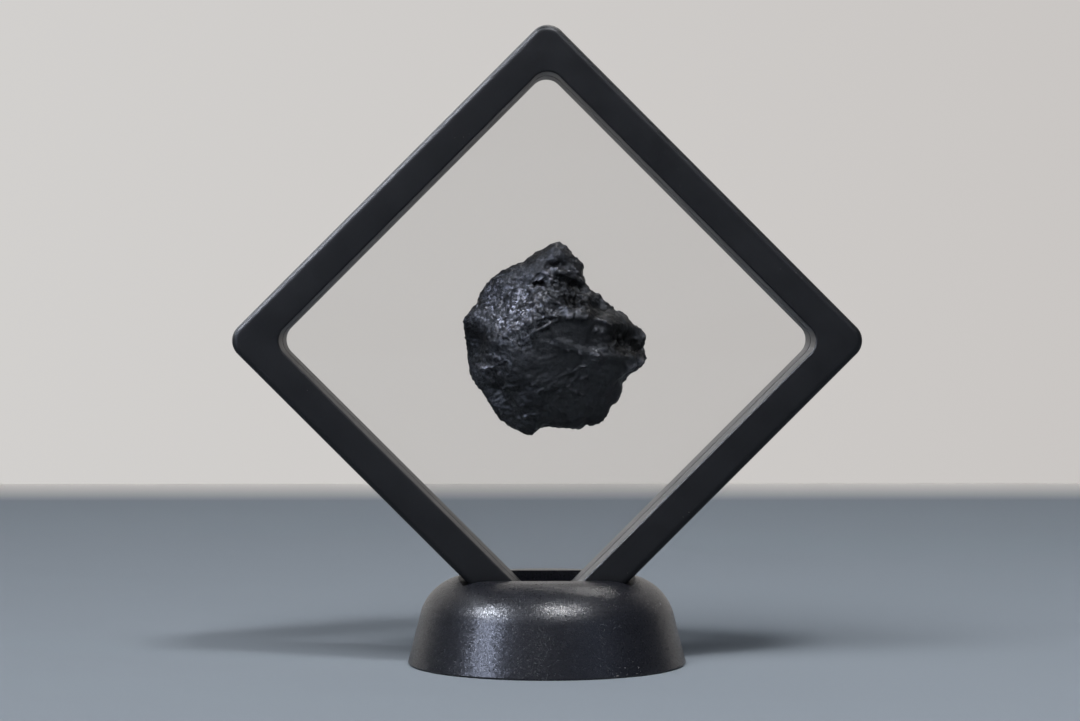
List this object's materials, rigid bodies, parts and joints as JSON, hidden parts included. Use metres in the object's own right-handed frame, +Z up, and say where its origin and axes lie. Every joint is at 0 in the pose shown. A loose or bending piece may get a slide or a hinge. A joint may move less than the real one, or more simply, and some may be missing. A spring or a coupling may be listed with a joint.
{
  "type": "iron meteorite in a floating display frame",
  "caption": "Dark craggy iron meteorite held between two clear stretched films in a square black frame standing on its corner in a round slotted stand.",
  "frame": {"origin": "middle of the stand's flat underside, on the surface it stands on", "axes": "+Z up, -Y the way the frame's front faces, +X to the right seen from the front"},
  "size_m": [0.1242, 0.0556, 0.1268],
  "materials": {
    "meteorite_iron": "dark craggy iron with a satin metallic glint on its raised grains",
    "frame_plastic": "satin black moulded plastic with polished edges and faint dust",
    "clear_film": "thin clear elastic film under tension",
    "stand_plastic": "satin black moulded plastic with a fine sparkling grain"
  },
  "bodies": {
    "root": {"meteorite": "meteorite_iron", "frame_front": "frame_plastic", "frame_back": "frame_plastic", "film_front": "clear_film", "film_back": "clear_film", "stand": "stand_plastic"}
  },
  "joints": []
}
